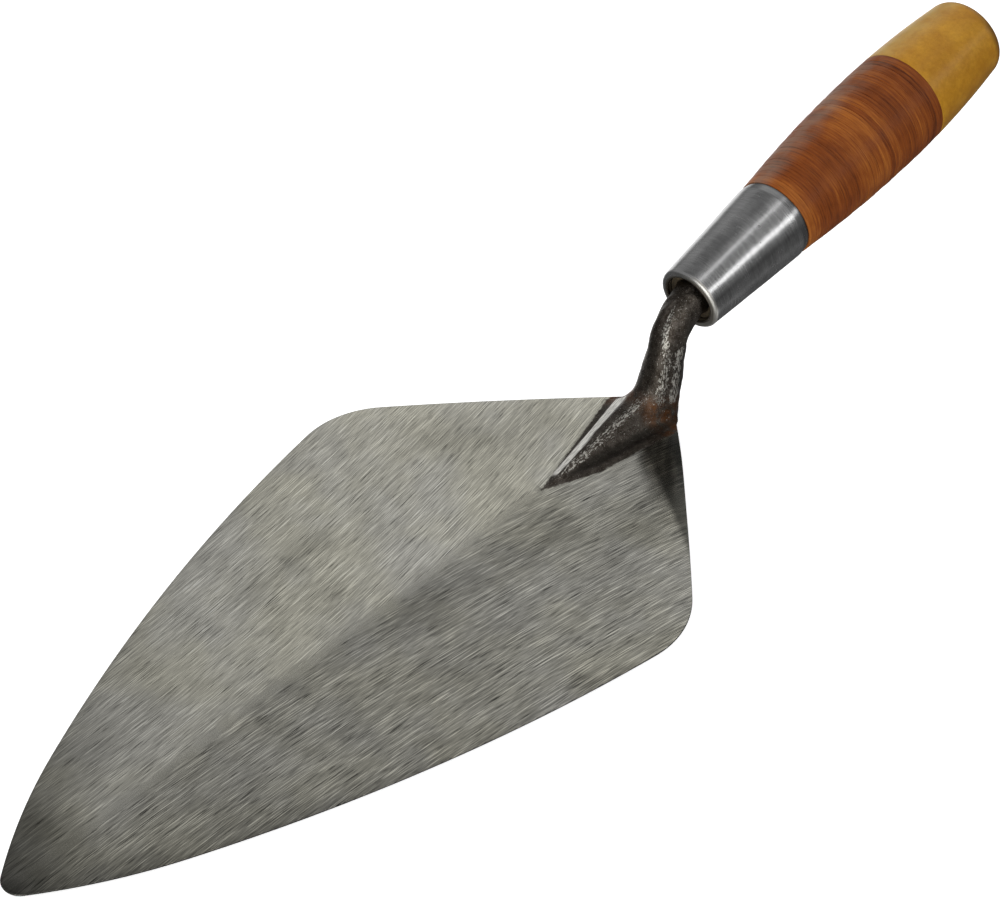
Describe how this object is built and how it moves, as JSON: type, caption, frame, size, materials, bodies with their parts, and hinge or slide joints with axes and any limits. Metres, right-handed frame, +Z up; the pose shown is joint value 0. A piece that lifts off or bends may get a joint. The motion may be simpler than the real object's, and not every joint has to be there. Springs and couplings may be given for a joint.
{
  "type": "brick trowel",
  "caption": "Brick trowel: pointed forged steel blade on a cranked shank, with a leather-washer handle between a tapered steel ferrule and an amber butt cap.",
  "frame": {"origin": "middle of the heel on the blade's flat underside", "axes": "+X along the blade from heel to toe, +Y to the left of a user looking at the toe, +Z up from the blade to the handle's side"},
  "size_m": [0.4361, 0.1408, 0.0805],
  "materials": {
    "blade_steel": "hand-ground steel with fine scratches, dark forge scale around the shank",
    "ferrule_steel": "turned and brushed around, polished lip",
    "plug_wood": "plain turned hardwood, unseen but for its front end",
    "leather": "stacked leather washers, turned, sanded and lacquered to a satin sheen",
    "amber_cap": "amber, finely mottled, lacquered"
  },
  "bodies": {
    "root": {"blade_and_tang": "blade_steel", "ferrule": "ferrule_steel", "ferrule_plug": "plug_wood", "leather_washer_01": "leather", "leather_washer_02": "leather", "leather_washer_03": "leather", "leather_washer_04": "leather", "leather_washer_05": "leather", "leather_washer_06": "leather", "leather_washer_07": "leather", "leather_washer_08": "leather", "leather_washer_09": "leather", "leather_washer_10": "leather", "leather_washer_11": "leather", "leather_washer_12": "leather", "leather_washer_13": "leather", "leather_washer_14": "leather", "leather_washer_15": "leather", "leather_washer_16": "leather", "leather_washer_17": "leather", "leather_washer_18": "leather", "leather_washer_19": "leather", "leather_washer_20": "leather", "leather_washer_21": "leather", "leather_washer_22": "leather", "leather_washer_23": "leather", "leather_washer_24": "leather", "butt_cap": "amber_cap"}
  },
  "joints": []
}
